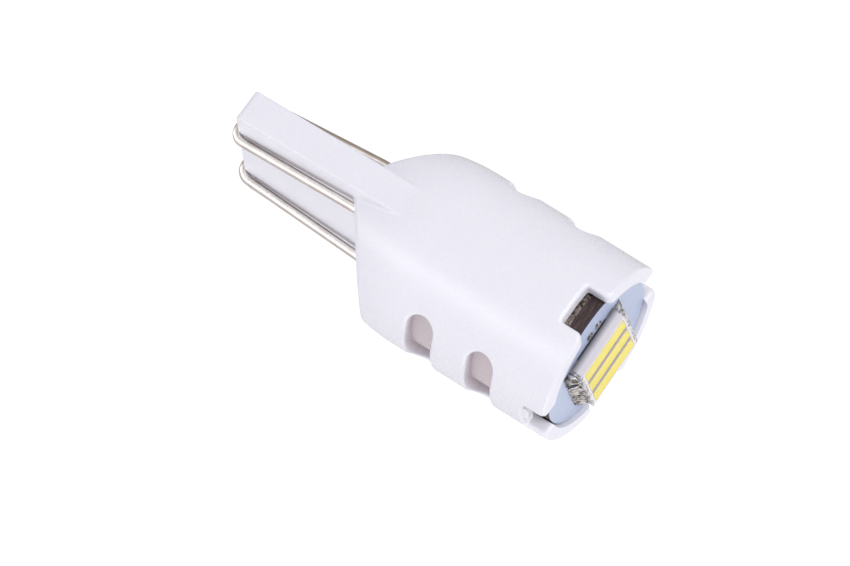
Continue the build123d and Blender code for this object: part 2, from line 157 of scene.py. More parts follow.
def share_along(tree: Tree, place: Socket, axis: Axis, start: float, end: float,
                both_sides: bool = False) -> Socket:
    """Tells how far a point lies along an axis of the model.

    Args:
        tree: node tree of the material.
        place: place of the point.
        axis: axis that is looked along.
        start: place on the axis where the share is 0.
        end: place on the axis where the share is 1, before or after the start.
        both_sides: whether a point and its mirror image across the origin count the same.

    Returns:
        A share from 0 to 1.
    """
    way = add_node(tree, "ShaderNodeSeparateXYZ", None, {"Vector": place}).outputs[axis.value]
    if both_sides:
        way = add_node(tree, "ShaderNodeMath", {"operation": "ABSOLUTE"}, {0: way}).outputs[0]
    share = add_node(tree, "ShaderNodeMapRange", {"From Min": start, "From Max": end},
                     {"Value": way})
    return share.outputs["Result"]


def overlap(tree: Tree, *shares: Socket) -> Socket:
    """Tells where several regions of a surface overlap.

    Args:
        tree: node tree of the material.
        shares: for each region, 1 inside it and 0 outside.

    Returns:
        1 where the point is inside all of them, 0 where it is outside one.
    """
    common = shares[0]
    for share in shares[1:]:
        common = add_node(tree, "ShaderNodeMath", {"operation": "MULTIPLY"},
                          {0: common, 1: share}).outputs[0]
    return common


def two_tone(tree: Tree, place: Socket, size_mm: float, colours: tuple[str, str],
             detail: float = 3.0, fall_off: float = 0.5, edges: Pair | None = None) -> Socket:
    """Mixes two colours in patches.

    Args:
        tree: node tree of the material.
        place: place of the point.
        size_mm: width of the patches.
        colours: the two hex colours.
        detail: number of finer layers in the patches.
        fall_off: strength of each finer layer beside the one before it.
        edges: levels of the noise between which one colour turns into the other, or None
            where they turn gradually.

    Returns:
        The mixed colour.
    """
    patches = add_node(tree, "ShaderNodeTexNoise",
                       {"Scale": per_mm(size_mm), "Detail": detail, "Roughness": fall_off},
                       {"Vector": place}).outputs["Fac"]
    if edges:
        patches = add_node(tree, "ShaderNodeMapRange",
                           {"From Min": edges[0], "From Max": edges[1]},
                           {"Value": patches}).outputs["Result"]
    mixed = add_node(tree, "ShaderNodeMix",
                     {"data_type": "RGBA", 6: linear(colours[0]), 7: linear(colours[1])},
                     {0: patches})
    return mixed.outputs[2]


def rough_grain(tree: Tree, shader: Node, place: Socket, size_mm: float, depth_mm: float,
                gloss: Pair, edges: Pair, detail: float = 2.0) -> None:
    """Gives a surface grain that stands out from it and breaks up its gloss.

    Args:
        tree: node tree of the material.
        shader: principled shader of the material.
        place: place of the point, stretched where the grain is drawn out.
        size_mm: width of the grain.
        depth_mm: real depth of the grain.
        gloss: roughness in the low and in the high grain.
        edges: levels of the noise that count as low and high.
        detail: number of finer layers in the grain.
    """
    grain = add_node(tree, "ShaderNodeTexNoise",
                     {"Scale": per_mm(size_mm), "Detail": detail, "Roughness": GRAIN_FALL_OFF},
                     {"Vector": place}).outputs["Fac"]
    dull = add_node(tree, "ShaderNodeMapRange",
                    {"From Min": edges[0], "From Max": edges[1],
                     "To Min": gloss[0], "To Max": gloss[1]}, {"Value": grain})
    relief = add_node(tree, "ShaderNodeBump", {"Strength": 1.0, "Distance": depth_mm * MM},
                      {"Height": grain})
    tree.links.new(dull.outputs["Result"], shader.inputs["Roughness"])
    tree.links.new(relief.outputs["Normal"], shader.inputs["Normal"])


class Finish:
    """A surface finish: one material, made the first time it is asked for."""

    name: str

    def material(self) -> bpy.types.Material:
        """Finds the material, or makes it on first use.

        Returns:
            The material of this finish.
        """
        found = bpy.data.materials.get(self.name)
        if found:
            return found
        made = bpy.data.materials.new(self.name)
        made.use_nodes = True
        tree = made.node_tree
        tree.nodes.clear()
        out = add_node(tree, "ShaderNodeOutputMaterial")
        place = add_node(tree, "ShaderNodeTexCoord").outputs["Object"]
        shader = add_node(tree, "ShaderNodeBsdfPrincipled")
        tree.links.new(shader.outputs["BSDF"], out.inputs["Surface"])
        self.dress(tree, shader, place)
        return made

    def dress(self, tree: Tree, shader: Node, place: Socket) -> None:
        """Sets the shader and its patterns, which each finish has of its own.

        Args:
            tree: node tree of the material.
            shader: its principled shader.
            place: place of the point in the model.
        """
        raise NotImplementedError


@dataclass(frozen=True)
class MouldedPbt(Finish):
    """White PBT, injection moulded in a spark-eroded mould.

    The eye sees a cool satin white, faintly cloudy from the filler, whose fine grain glints
    along the highlights, and on the floors of the recesses a painted shade, a warmer greyer white.
    """

    name: str = "pbt_moulded_white"
    colour: str = "#F2F1F8"
    shade: str = "#EEEDF5"
    cloud_mm: float = 2.2
    # Painted shade: a warmer, greyer white laid on the recess floors, where shade falls.
    painted_recess_shade: str = "#D0C5C9"
    recess_floor_mm: float = 4.4
    skin_mm: float = 4.95
    recess_foot_mm: Pair = (4.6, 5.0)
    recess_head_mm: Pair = (12.3, 12.0)
    grain_mm: float = 0.05
    grain_depth_mm: float = 0.006
    grain_edges: Pair = (0.4, 0.6)
    dull: float = 0.4
    glint: float = 0.2
    refraction: float = 1.55

    def dress(self, tree: Tree, shader: Node, place: Socket) -> None:
        """Sets the cloudy white, the painted shade in the recesses and the grain.

        Args:
            tree: node tree of the material.
            shader: its principled shader.
            place: place of the point in the model.
        """
        skin = two_tone(tree, place, self.cloud_mm, (self.colour, self.shade))
        level = add_node(tree, "ShaderNodeVectorMath", {"operation": "MULTIPLY", 1: (1, 1, 0)},
                         {0: place})
        radius = add_node(tree, "ShaderNodeVectorMath", {"operation": "LENGTH"},
                          {0: level.outputs[0]})
        # Painted shade: the share of the recess tint, 1 deep in the recesses between these heights.
        sunk = add_node(tree, "ShaderNodeMapRange",
                        {"From Min": self.recess_floor_mm * MM, "From Max": self.skin_mm * MM,
                         "To Min": 1, "To Max": 0}, {"Value": radius.outputs["Value"]})
        above = share_along(tree, place, Axis.HEIGHT, *(z * MM for z in self.recess_foot_mm))
        below = share_along(tree, place, Axis.HEIGHT, *(z * MM for z in self.recess_head_mm))
        inside = overlap(tree, above, below, sunk.outputs["Result"])
        colour = add_node(tree, "ShaderNodeMix", {"data_type": "RGBA", 7: linear(self.painted_recess_shade)},
                          {0: inside, 6: skin})
        tree.links.new(colour.outputs[2], shader.inputs["Base Color"])
        rough_grain(tree, shader, place, self.grain_mm, self.grain_depth_mm,
                    (self.dull, self.glint), self.grain_edges)
        shader.inputs["IOR"].default_value = self.refraction


@dataclass(frozen=True)
class Metal(Finish):
    """A bare metal with patches of stain and fine marks from its making."""

    name: str
    colour: str
    stain: str
    gloss: Pair
    mark_mm: float
    mark_depth_mm: float
    stretch: tuple[float, float, float] = (1.0, 1.0, 0.05)
    blotch_mm: float = 0.7
    blotch_detail: float = 4.0
    blotch_fall_off: float = 0.6
    blotch_edges: Pair = (0.42, 0.58)
    mark_detail: float = 3.0
    mark_edges: Pair = (0.3, 0.7)

    def dress(self, tree: Tree, shader: Node, place: Socket) -> None:
        """Sets the stained metal and its marks, drawn out along one direction.

        Args:
            tree: node tree of the material.
            shader: its principled shader.
            place: place of the point in the model.
        """
        stained = two_tone(tree, place, self.blotch_mm, (self.colour, self.stain),
                           self.blotch_detail, self.blotch_fall_off, self.blotch_edges)
        tree.links.new(self.tint(tree, place, stained), shader.inputs["Base Color"])
        drawn = add_node(tree, "ShaderNodeMapping", {"Scale": self.stretch}, {"Vector": place})
        rough_grain(tree, shader, drawn.outputs["Vector"], self.mark_mm, self.mark_depth_mm,
                    self.gloss, self.mark_edges, self.mark_detail)
        shader.inputs["Metallic"].default_value = 1.0

    def tint(self, tree: Tree, place: Socket, colour: Socket) -> Socket:
        """Returns the colour as it is; a metal with painted shade changes it by place."""
        return colour


@dataclass(frozen=True)
class TinnedWire(Metal):
    """Tinned copper wire, with painted shade where it lies close to the moulding.

    The eye sees bright silver on the outside of the legs, and a painted brown shade down in
    the gap between the leg and the face of the wedge.
    """

    # Painted shade: brown laid on the legs near the wedge's face, where the gap between them is in
    # shade.
    painted_gap_shade: str = "#A08F83"
    gap_mm: Pair = (1.26, 1.0)
    bend_mm: Pair = (-7.3, -6.6)

    def tint(self, tree: Tree, place: Socket, colour: Socket) -> Socket:
        """Paints a brown shade on the metal towards the face of the wedge, but not round the bend.

        Args:
            tree: node tree of the material.
            place: place of the point in the model.
            colour: colour of the bright metal.

        Returns:
            The colour with its painted shade.
        """
        # Painted shade: 1 close to the wedge's face on the straight legs, 0 round the bend.
        close = share_along(tree, place, Axis.THICKNESS, *(y * MM for y in self.gap_mm), True)
        leg = share_along(tree, place, Axis.HEIGHT, *(z * MM for z in self.bend_mm))
        mixed = add_node(tree, "ShaderNodeMix", {"data_type": "RGBA", 7: linear(self.painted_gap_shade)},
                         {0: overlap(tree, close, leg), 6: colour})
        return mixed.outputs[2]


@dataclass(frozen=True)
class PlainMoulding(Finish):
    """A moulded, cast or glazed small part: one colour, faintly cloudy, with fine grain."""

    name: str
    colour: str
    shade: str
    rough: float
    grain_mm: float
    grain_depth_mm: float
    cloud_mm: float = 0.5
    rough_spread: float = 0.15
    grain_edges: Pair = (0.3, 0.7)

    def dress(self, tree: Tree, shader: Node, place: Socket) -> None:
        """Sets the cloudy colour and the grain.

        Args:
            tree: node tree of the material.
            shader: its principled shader.
            place: place of the point in the model.
        """
        colour = two_tone(tree, place, self.cloud_mm, (self.colour, self.shade))
        tree.links.new(colour, shader.inputs["Base Color"])
        gloss = tuple(self.rough * (1 + way * self.rough_spread) for way in (-1, 1))
        rough_grain(tree, shader, place, self.grain_mm, self.grain_depth_mm, gloss,
                    self.grain_edges)


@dataclass(frozen=True)
class MaskedMetalBoard(Finish):
    """Metal core board with a printed solder mask, sawn out at its edge.

    The eye sees a pale blue satin film on the face, and a brown edge with fine dark streaks
    along it where the saw has smeared the layers.
    """

    name: str = "metal_core_board_masked"
    mask: str = "#BCC7E1"
    mask_shade: str = "#B2BEDB"
    mask_cloud_mm: float = 0.6
    mask_mm: float = 0.05
    mask_edge_share: float = 0.8
    core: str = "#5A4744"
    core_dark: str = "#2E262B"
    streak_mm: float = 0.09
    streak_stretch: tuple[float, float, float] = (0.12, 0.12, 1.0)
    streak_detail: float = 4.0
    streak_fall_off: float = 0.65
    streak_edges: Pair = (0.35, 0.65)
    streak_depth_mm: float = 0.01
    streak_strength: float = 0.5
    rough: Pair = (0.55, 0.3)
    metallic: Pair = (0.35, 0.0)

    def dress(self, tree: Tree, shader: Node, place: Socket) -> None:
        """Sets the mask where the board's face is and the streaked core below it.

        Args:
            tree: node tree of the material.
            shader: its principled shader.
            place: place of the point in the model.
        """
        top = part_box("led_board")[1][2]
        masked = share_along(tree, place, Axis.HEIGHT, top - self.mask_mm * MM,
                             top - self.mask_edge_share * self.mask_mm * MM)
        layers = add_node(tree, "ShaderNodeMapping", {"Scale": self.streak_stretch},
                          {"Vector": place})
        streaks = add_node(tree, "ShaderNodeTexNoise",
                           {"Scale": per_mm(self.streak_mm), "Detail": self.streak_detail,
                            "Roughness": self.streak_fall_off},
                           {"Vector": layers.outputs["Vector"]}).outputs["Fac"]
        dark = add_node(tree, "ShaderNodeMapRange",
                        {"From Min": self.streak_edges[0], "From Max": self.streak_edges[1]},
                        {"Value": streaks})
        core = add_node(tree, "ShaderNodeMix",
                        {"data_type": "RGBA", 6: linear(self.core), 7: linear(self.core_dark)},
                        {0: dark.outputs["Result"]})
        mask = two_tone(tree, place, self.mask_cloud_mm, (self.mask, self.mask_shade))
        colour = add_node(tree, "ShaderNodeMix", {"data_type": "RGBA"},
                          {0: masked, 6: core.outputs[2], 7: mask})
        tree.links.new(colour.outputs[2], shader.inputs["Base Color"])
        for socket, (in_core, in_mask) in (("Roughness", self.rough), ("Metallic", self.metallic)):
            value = add_node(tree, "ShaderNodeMapRange", {"To Min": in_core, "To Max": in_mask},
                             {"Value": masked})
            tree.links.new(value.outputs["Result"], shader.inputs[socket])
        relief = add_node(tree, "ShaderNodeBump", {"Strength": self.streak_strength,
                                                   "Distance": self.streak_depth_mm * MM},
                          {"Height": streaks})
        tree.links.new(relief.outputs["Normal"], shader.inputs["Normal"])


@dataclass(frozen=True)
class LedMoulding(Finish):
    """White LED package, moulded round a plated metal frame.

    The eye sees a warm white, a painted grey-mauve shade on the thin wall tops between the
    wells, a painted grey shade low on the sides, and bare plated specks at the ends.
    """

    name: str = "package_moulded_white"
    colour: str = "#F1EBED"
    # Painted shade: grey at the foot of the sides, fading to the white above, where the sides meet
    # the board.
    painted_foot_shade: str = "#4C4C52"
    painted_foot_shade_mm: float = 0.38
    # Painted shade: grey-mauve on the tops of the thin walls between the wells, where the gaps lie
    # in shade.
    wall: str = "#B3A4AC"
    wall_mm: float = 0.06
    wall_fade_share: float = 0.5
    well_ends_mm: Pair = (1.74, 1.68)
    outer_walls_mm: Pair = (2.26, 2.2)
    plating: str = "#9C9896"
    plated_ends_mm: Pair = (1.8, 1.88)
    speck_mm: float = 0.2
    speck_detail: float = 4.0
    speck_fall_off: float = 0.7
    speck_edges: Pair = (0.44, 0.54)
    rough: float = 0.32
    grain_mm: float = 0.04
    grain_detail: float = 2.0
    grain_depth_mm: float = 0.0015

    def dress(self, tree: Tree, shader: Node, place: Socket) -> None:
        """Sets the white over its painted foot shade, then the painted wall-top shade and the
        plated ends.

        Args:
            tree: node tree of the material.
            shader: its principled shader.
            place: place of the point in the model.
        """
        low, high = (corner[2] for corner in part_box("led_body_2"))
        turned = add_node(tree, "ShaderNodeMapping",
                          {"Rotation": (0.0, 0.0, -math.radians(LED_TURN_DEG))},
                          {"Vector": place}).outputs["Vector"]
        # Painted shade: 0 at the foot of the sides, 1 higher up.
        white = share_along(tree, place, Axis.HEIGHT, low, low + self.painted_foot_shade_mm * MM)
        side = add_node(tree, "ShaderNodeMix",
                        {"data_type": "RGBA", 6: linear(self.painted_foot_shade), 7: linear(self.colour)},
                        {0: white})
        # Painted shade: the share of the grey-mauve on the wall tops between the wells.
        painted_wall_shade = overlap(
            tree,
            share_along(tree, turned, Axis.THICKNESS, *(y * MM for y in self.well_ends_mm), True),
            share_along(tree, place, Axis.HEIGHT, high - self.wall_mm * MM,
                        high - self.wall_fade_share * self.wall_mm * MM),
            share_along(tree, turned, Axis.WIDTH, *(x * MM for x in self.outer_walls_mm), True))
        moulded = add_node(tree, "ShaderNodeMix", {"data_type": "RGBA", 7: linear(self.wall)},
                           {0: painted_wall_shade, 6: side.outputs[2]})
        noise = add_node(tree, "ShaderNodeTexNoise",
                         {"Scale": per_mm(self.speck_mm), "Detail": self.speck_detail,
                          "Roughness": self.speck_fall_off},
                         {"Vector": place})
        specks = add_node(tree, "ShaderNodeMapRange",
                          {"From Min": self.speck_edges[0], "From Max": self.speck_edges[1]},
                          {"Value": noise.outputs["Fac"]})
        ends = share_along(tree, turned, Axis.THICKNESS, *(y * MM for y in self.plated_ends_mm),
                           True)
        plated = overlap(tree, ends, specks.outputs["Result"])
        colour = add_node(tree, "ShaderNodeMix", {"data_type": "RGBA", 7: linear(self.plating)},
                          {0: plated, 6: moulded.outputs[2]})
        tree.links.new(colour.outputs[2], shader.inputs["Base Color"])
        tree.links.new(plated, shader.inputs["Metallic"])
        shader.inputs["Roughness"].default_value = self.rough
        grain = add_node(tree, "ShaderNodeTexNoise",
                         {"Scale": per_mm(self.grain_mm), "Detail": self.grain_detail},
                         {"Vector": place})
        relief = add_node(tree, "ShaderNodeBump",
                          {"Strength": 1.0, "Distance": self.grain_depth_mm * MM},
                          {"Height": grain.outputs["Fac"]})
        tree.links.new(relief.outputs["Normal"], shader.inputs["Normal"])


# Drawn copper wire with a dip of tin: mirror-bright, with hair lines along the wire. Real
# ones are about a hundredth of a millimetre wide; they are drawn as coarse as they need to show.
TINNED_WIRE = TinnedWire("copper_wire_tinned", "#F3F0ED", "#E9E3DD", (0.1, 0.16), 0.05, 0.0006)

# Turned and left bare: brown-grey patches between bright ones, rough to the eye.
TURNED_ALUMINIUM = Metal("aluminium_turned", "#A3978F", "#453C38", (0.25, 0.5), 0.12, 0.02,
                         (1.0, 1.0, 1.0), 0.26)

# Solder paste melted in an oven: lumpy bright silver with dull grey hollows.
REFLOWED_SOLDER = Metal("solder_reflowed", "#DAD5D2", "#5F5856", (0.2, 0.4), 0.12, 0.012,
                        (1.0, 1.0, 1.0), 0.34)

# Stamped copper strip, silver plated: even and pale, a little matt.
SILVERED_LEAD = Metal("lead_silver_plated", "#CFCFD2", "#B6B6BA", (0.2, 0.32), 0.05, 0.002,
                      (1.0, 1.0, 1.0))

# Tinned brass pin: warm silver with marks along its length.
TINNED_PIN = Metal("brass_pin_tinned", "#CFC9BE", "#BDB5A8", (0.15, 0.28), 0.05, 0.002)

# Silicone with yellow phosphor, poured and cured: even lemon yellow with a wet look.
PHOSPHOR = PlainMoulding("silicone_phosphor_yellow", "#FBF08A", "#F6E25A", 0.25, 0.05, 0.008)

# Adhesive cured over the white seat: it takes the white and shows sharp small glints.
CLEAR_ADHESIVE = PlainMoulding("adhesive_cured_clear", "#FBFAFC", "#EDEAEE", 0.07, 0.12, 0.012)

# Glass cloth in epoxy under a green mask: its weave shows as a broad soft relief.
GLASS_EPOXY = PlainMoulding("glass_epoxy_green", "#2D5F3C", "#244F32", 0.35, 0.3, 0.006)

# Epoxy moulded round a chip: matt black with a fine even grain.
BLACK_EPOXY = PlainMoulding("epoxy_moulded_black", "#1E1E20", "#28282A", 0.5, 0.03, 0.002)

# Fired ceramic of a chip capacitor: matt tan.
CAPACITOR_CERAMIC = PlainMoulding("ceramic_fired_tan", "#A98662", "#9A7855", 0.45, 0.04, 0.002)

# Glass glaze over a resistor's film: glossy black.
RESISTOR_GLAZE = PlainMoulding("resistor_film_glazed", "#191A1C", "#222326", 0.2, 0.06, 0.001)

# One material for the three packages.
LED_PACKAGE = LedMoulding()

NODE_FINISH: dict[str, Finish] = {
    "housing": MouldedPbt(),
    "contact_wire_a": TINNED_WIRE,
    "contact_wire_b": TINNED_WIRE,
    "heat_slug": TURNED_ALUMINIUM,
    "led_board": MaskedMetalBoard(),
    "led_solder": REFLOWED_SOLDER,
    "pin_solder": REFLOWED_SOLDER,
    "wire_solder": REFLOWED_SOLDER,
    "driver_board": GLASS_EPOXY,
    "bridge_rectifier": BLACK_EPOXY,
    "current_regulator": BLACK_EPOXY,
    "filter_capacitor": CAPACITOR_CERAMIC,
    "sense_resistor": RESISTOR_GLAZE,
    "bleed_resistor": RESISTOR_GLAZE,
    "link_pin_a": TINNED_PIN,
    "link_pin_b": TINNED_PIN,
    **{f"led_body_{number}": LED_PACKAGE for number in LED_NUMBERS},
    **{f"led_phosphor_{number}": PHOSPHOR for number in LED_NUMBERS},
    **{f"led_leads_{number}": SILVERED_LEAD for number in LED_NUMBERS},
}


def select_only(pieces: list[Piece]) -> None:
    """Selects these pieces and no others, and makes the first one active.

    Args:
        pieces: the pieces to select.
    """
    bpy.ops.object.select_all(action="DESELECT")
    for piece in pieces:
        piece.select_set(True)
    bpy.context.view_layer.objects.active = pieces[0]


def own_copy(piece: Piece) -> Piece:
    """Copies a piece and gives the copy a mesh of its own.

    Args:
        piece: the piece that is modelled already.

    Returns:
        The copy, with the same modifiers.
    """
    copy = piece.copy()
    copy.data = piece.data.copy()
    bpy.context.collection.objects.link(copy)
    return copy


def edit_top(piece: Piece) -> None:
    """Goes into edit mode on the active piece with only its upward faces selected.

    Args:
        piece: the active piece.
    """
    bpy.ops.object.mode_set(mode="EDIT")
    bpy.ops.mesh.select_mode(type="FACE")
    bpy.ops.mesh.select_all(action="DESELECT")
    bpy.ops.object.mode_set(mode="OBJECT")
    for face in piece.data.polygons:
        face.select = face.normal.z > UPWARD
    bpy.ops.object.mode_set(mode="EDIT")


def apply_only_modifier(piece: Piece) -> None:
    """Applies the one modifier of a piece and leaves the piece selected and active."""
    select_only([piece])
    bpy.ops.object.modifier_apply(modifier=piece.modifiers[0].name)


def join_pieces(pieces: list[Piece], name: str, finish: Finish) -> Piece:
    """Joins meshes into one piece of the body.

    Args:
        pieces: the meshes to join.
        name: name of the joined piece.
        finish: its one finish.

    Returns:
        The joined piece.
    """
    select_only(pieces)
    bpy.ops.object.join()
    joined = bpy.context.object
    joined.name = name
    joined.data.materials.clear()
    joined.data.materials.append(finish.material())
    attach(joined, BODY)
    return joined


@dataclass
class UnevenBlock:
    """A rounded block with a lumpy skin, for solder and adhesive, in millimetres.

    Its size is width, length and height; grain and unevenness are the width and height of
    the lumps.
    """

    size: tuple[float, float, float]
    grain: float
    unevenness: float
    corner_share: float = 0.12
    corner_steps: int = 2
    cuts: int = 7
    smoothing: float = 0.5
    smoothing_rounds: int = 2
    foot_share: float = 0.4

    def build(self, sloped: PackageEnd | None = None) -> Piece:
        """Makes the block at the origin, with its lumps as a modifier that isn't applied yet.

        The lumps come from the block's place, so that blocks in other places differ.

        Args:
            sloped: end whose top runs down to the base, or None for a level top.

        Returns:
            The block.
        """
        wide, long, tall = self.size
        bpy.ops.object.select_all(action="DESELECT")
        bpy.ops.mesh.primitive_cube_add(size=1)
        block = bpy.context.object
        block.data.transform(Matrix.Diagonal((wide * MM, long * MM, tall * MM, 1)))
        if sloped:
            for vertex in block.data.vertices:
                if vertex.co.z > 0 and vertex.co.y * sloped.value > 0:
                    vertex.co.z = -self.foot_share * tall * MM
        bpy.ops.object.mode_set(mode="EDIT")
        bpy.ops.mesh.select_all(action="SELECT")
        bpy.ops.mesh.bevel(offset=self.corner_share * min(self.size) * MM,
                           segments=self.corner_steps)
        bpy.ops.mesh.subdivide(number_cuts=self.cuts)
        bpy.ops.mesh.vertices_smooth(factor=self.smoothing, repeat=self.smoothing_rounds)
        bpy.ops.object.mode_set(mode="OBJECT")
        bpy.ops.object.shade_smooth()
        texture = bpy.data.textures.new(f"lumps_{len(bpy.data.textures)}", "CLOUDS")
        texture.noise_scale = self.grain * MM
        lumps = block.modifiers.new("lumps", "DISPLACE")
        lumps.texture = texture
        lumps.strength = self.unevenness * MM
        lumps.texture_coords = "GLOBAL"
        return block


@dataclass
class LedRow:
    """Fine pieces of the three strip LEDs and of the vias beside them, in millimetres.

    The row stands on the board, turned as the packages are: dished phosphor fills, six lumpy
    solder joints and the raised collars of two vias.
    """

    pitch: float = 1.62
    package_width: float = 1.52
    half_length: float = 2.0
    window: Pair = (1.26, 3.45)
    fill_gap: Pair = (0.06, 0.02)
    fill_depth: float = 0.3
    dish: float = 0.1
    dish_shares: Pair = (0.7, 0.3)
    dish_rim: float = 0.12
    fill_crease_deg: float = 60.0
    lump: tuple[float, float, float] = (1.16, 0.46, 0.56)
    thin_share: float = 0.45
    lump_grain: float = 0.42
    lump_unevenness: float = 0.26
    via_places: tuple[int, int] = (0, -1)
    via_pitch: float = 0.72
    via_gap: float = 0.42
    via_radius: float = 0.23
    via_bore: float = 0.12
    via_height: float = 0.07
    via_sink_share: float = 0.8
    via_sides: int = 24
    via_edge: float = 0.02
    via_edge_steps: int = 2
    via_crease_deg: float = 40.0

    def columns(self) -> Vector:
        """Returns the places of the three packages across the row."""
        return Vector((-self.pitch, 0.0, self.pitch))

    def board_top(self) -> float:
        """Returns the height of the board's face."""
        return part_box("led_board")[1][2] / MM

    def seat(self, piece: Piece, x: float, y: float, z: float) -> None:
        """Moves a mesh to its place in the turned row and leaves its origin at the frame's.

        Args:
            piece: the piece, modelled at the origin.
            x: place across the row.
            y: place along the packages.
            z: height in the model.
        """
        turn = Matrix.Rotation(math.radians(LED_TURN_DEG), 4, "Z")
        piece.data.transform(turn @ Matrix.Translation(Vector((x, y, z)) * MM))

    def dished_fill(self) -> Piece:
        """Models one yellow fill: a block whose top is dished, its edges drawn up the wall.

        Returns:
            The fill, at the origin.
        """
        bpy.ops.object.select_all(action="DESELECT")
        bpy.ops.mesh.primitive_cube_add(size=1)
        fill = bpy.context.object
        wide, long = (size - 2 * gap for size, gap in zip(self.window, self.fill_gap))
        fill.data.transform(Matrix.Diagonal((wide * MM, long * MM, self.fill_depth * MM, 1)))
        edit_top(fill)
        for share in self.dish_shares:
            bpy.ops.mesh.inset(thickness=self.dish_rim * MM)
            bpy.ops.transform.translate(value=(0, 0, -self.dish * share * MM))
        bpy.ops.object.mode_set(mode="OBJECT")
        bpy.ops.object.shade_smooth_by_angle(angle=math.radians(self.fill_crease_deg))
        fill.data.materials.append(PHOSPHOR.material())
        return fill

    def phosphor(self) -> None:
        """Puts one fill in the well of each package."""
        first = self.dished_fill()
        fills = [first] + [own_copy(first) for _ in LED_NUMBERS[1:]]
        for number, fill, x in zip(LED_NUMBERS, fills, self.columns()):
            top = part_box(f"led_phosphor_{number}")[1][2] / MM
            fill.name = f"phosphor_fill_{number}"
            self.seat(fill, x, 0, top - self.fill_depth / 2)
            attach(fill, BODY)
            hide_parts(f"led_phosphor_{number}")
            LOG.info("%s: dished fill", fill.name)

    def solder_lumps(self, end: PackageEnd) -> list[Piece]:
        """Makes the fillets at one end of the packages, running out over the board.

        Args:
            end: the end of the packages.

        Returns:
            Three fillets, their feet flat on the board.
        """
        wide, long, tall = self.lump
        if end is PackageEnd.THIN:
            tall *= self.thin_share
        base = self.board_top()
        first = UnevenBlock((wide, long, tall), self.lump_grain, self.lump_unevenness).build(end)
        lumps = [first] + [own_copy(first) for _ in LED_NUMBERS[1:]]
        for lump, x in zip(lumps, self.columns()):
            self.seat(lump, x, end.value * (self.half_length + long / 2), base + tall / 2)
            apply_only_modifier(lump)
            for vertex in lump.data.vertices:
                vertex.co.z = max(vertex.co.z, base * MM)
        return lumps

    def solder(self) -> None:
        """Makes the six joints as one piece."""
        lumps = [lump for end in PackageEnd for lump in self.solder_lumps(end)]
        joints = join_pieces(lumps, "solder_reflowed_joints", REFLOWED_SOLDER)
        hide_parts("led_solder")
        LOG.info("%s: %d lumpy joints", joints.name, len(lumps))

    def via_collar(self) -> Piece:
        """Models one raised tinned ring: a disc whose middle is sunk into the hole.

        Returns:
            The ring, at the origin.
        """
        bpy.ops.object.select_all(action="DESELECT")
        bpy.ops.mesh.primitive_cylinder_add(vertices=self.via_sides, radius=self.via_radius * MM,
                                            depth=self.via_height * MM)
        ring = bpy.context.object
        edit_top(ring)
        bpy.ops.mesh.inset(thickness=(self.via_radius - self.via_bore) * MM)
        bpy.ops.transform.translate(value=(0, 0, -self.via_sink_share * self.via_height * MM))
        bpy.ops.object.mode_set(mode="OBJECT")
        edge = ring.modifiers.new("edge", "BEVEL")
        edge.width = self.via_edge * MM
        edge.segments = self.via_edge_steps
        apply_only_modifier(ring)
        bpy.ops.object.shade_smooth_by_angle(angle=math.radians(self.via_crease_deg))
        return ring

    def vias(self) -> None:
        """Makes the collars of the vias as one piece."""
        x = self.pitch + self.package_width / 2 + self.via_gap
        first = self.via_collar()
        rings = [first] + [own_copy(first) for _ in self.via_places[1:]]
        for ring, hole in zip(rings, self.via_places):
            self.seat(ring, x, hole * self.via_pitch, self.board_top() + self.via_height / 2)
        collars = join_pieces(rings, "via_collars_tinned", REFLOWED_SOLDER)
        LOG.info("%s: %d rings", collars.name, len(rings))

    def build(self) -> None:
        """Builds the fills, the joints and the via collars."""
        self.phosphor()
        self.solder()
        self.vias()


@dataclass
class SeatAdhesive:
    """Cured clear adhesive that shows in two of the rim's notches, in millimetres.

    Each bead is given by its place and its size.
    """

    beads: tuple = (((0.15, 4.62, 12.66), (1.5, 0.42, 0.3)),
                    ((-0.95, -4.55, 12.78), (0.4, 0.4, 0.6)))
    grain: float = 0.3
    unevenness: float = 0.16

    def build(self) -> None:
        """Makes the beads as one piece."""
        blocks = []
        for place, size in self.beads:
            block = UnevenBlock(size, self.grain, self.unevenness).build()
            block.data.transform(Matrix.Translation(Vector(place) * MM))
            apply_only_modifier(block)
            blocks.append(block)
        beads = join_pieces(blocks, "seat_adhesive_beads", CLEAR_ADHESIVE)
        LOG.info("%s: %d beads", beads.name, len(blocks))


